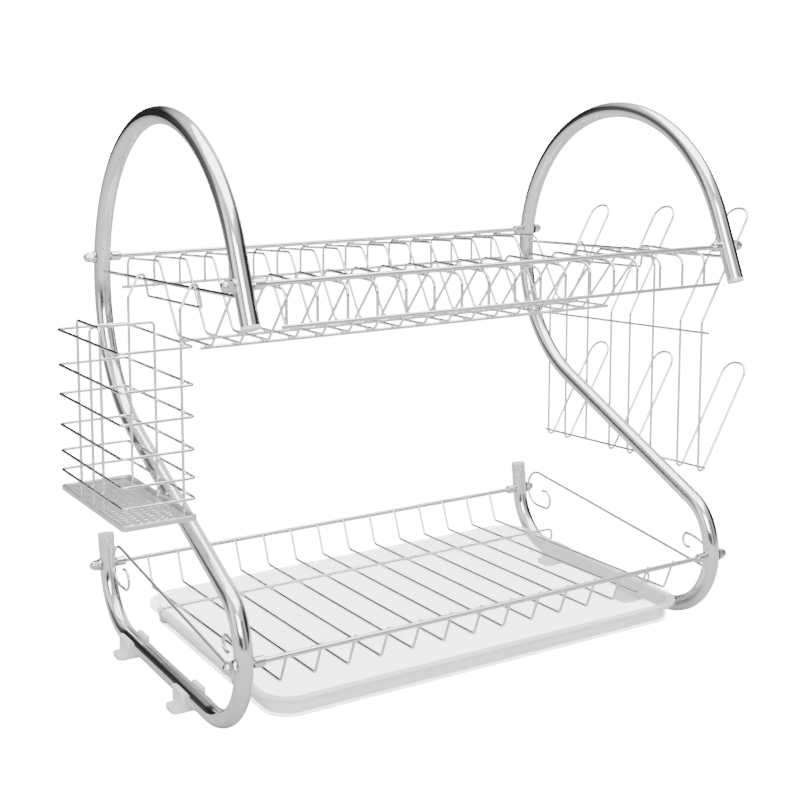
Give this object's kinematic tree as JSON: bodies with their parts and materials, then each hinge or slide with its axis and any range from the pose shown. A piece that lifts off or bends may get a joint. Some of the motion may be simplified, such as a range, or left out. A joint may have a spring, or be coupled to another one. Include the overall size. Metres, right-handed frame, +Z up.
{
  "type": "dish drying rack",
  "caption": "Two-tier dish drying rack of bent chrome tube and wire, with a lift-off cutlery basket, a lift-off cup holder and a slide-out drip tray.",
  "frame": {"origin": "on the counter, under the middle of the rack", "axes": "+X to the right along the rack, +Y to the back, +Z up"},
  "size_m": [0.4955, 0.2704, 0.3934],
  "materials": {
    "tube_chrome": "mirror",
    "wire_chrome": "bright",
    "fastener_chrome": "bright",
    "base_steel": "satin",
    "plug_plastic": "smooth",
    "foot_plastic": "smooth",
    "tray_plastic": "translucent"
  },
  "bodies": {
    "rack": {"acorn_nuts": "fastener_chrome", "drainer_cross_wires": "wire_chrome", "drainer_floor_wire": "wire_chrome", "left_frame_tube": "tube_chrome", "left_front_curl": "wire_chrome", "left_front_end_plug": "plug_plastic", "left_front_foot": "foot_plastic", "left_front_tray_hook": "wire_chrome", "left_hanger_wire": "wire_chrome", "left_rear_end_plug": "plug_plastic", "left_rear_foot": "foot_plastic", "left_side_scroll": "wire_chrome", "lower_back_rail": "wire_chrome", "lower_front_rail": "wire_chrome", "plate_dividers": "wire_chrome", "rail_ferrules": "fastener_chrome", "right_frame_tube": "tube_chrome", "right_front_curl": "wire_chrome", "right_front_end_plug": "plug_plastic", "right_front_foot": "foot_plastic", "right_front_tray_hook": "wire_chrome", "right_hanger_wire": "wire_chrome", "right_rear_end_plug": "plug_plastic", "right_rear_foot": "foot_plastic", "right_side_scroll": "wire_chrome", "studs": "fastener_chrome", "upper_back_rail": "wire_chrome", "upper_back_skirt_wire": "wire_chrome", "upper_back_trough_wire": "wire_chrome", "upper_front_rail": "wire_chrome", "upper_front_skirt_wire": "wire_chrome", "upper_front_trough_wire": "wire_chrome", "washers": "fastener_chrome"},
    "drip_tray": {"drip_tray": "tray_plastic"},
    "cutlery_basket": {"basket_base": "base_steel", "basket_cross_divider": "wire_chrome", "basket_hook_wire": "wire_chrome", "basket_ring_1": "wire_chrome", "basket_ring_2": "wire_chrome", "basket_ring_3": "wire_chrome", "basket_ring_4": "wire_chrome", "basket_ring_5": "wire_chrome", "basket_ring_6": "wire_chrome", "basket_side_divider": "wire_chrome"},
    "cup_holder": {"cup_hook_wire": "wire_chrome", "cup_loop_1": "wire_chrome", "cup_loop_2": "wire_chrome", "cup_loop_3": "wire_chrome", "cup_lower_bar": "wire_chrome", "cup_middle_bar": "wire_chrome"}
  },
  "joints": [
    {"name": "tray_pull", "type": "slide", "parent": "rack", "child": "drip_tray", "axis": [0, -1, 0], "range_m": [0, 0.25]},
    {"name": "basket_lift", "type": "slide", "parent": "rack", "child": "cutlery_basket", "axis": [0, 0, 1], "range_m": [0, 0.06]},
    {"name": "cup_holder_lift", "type": "slide", "parent": "rack", "child": "cup_holder", "axis": [0, 0, 1], "range_m": [0, 0.06]}
  ]
}
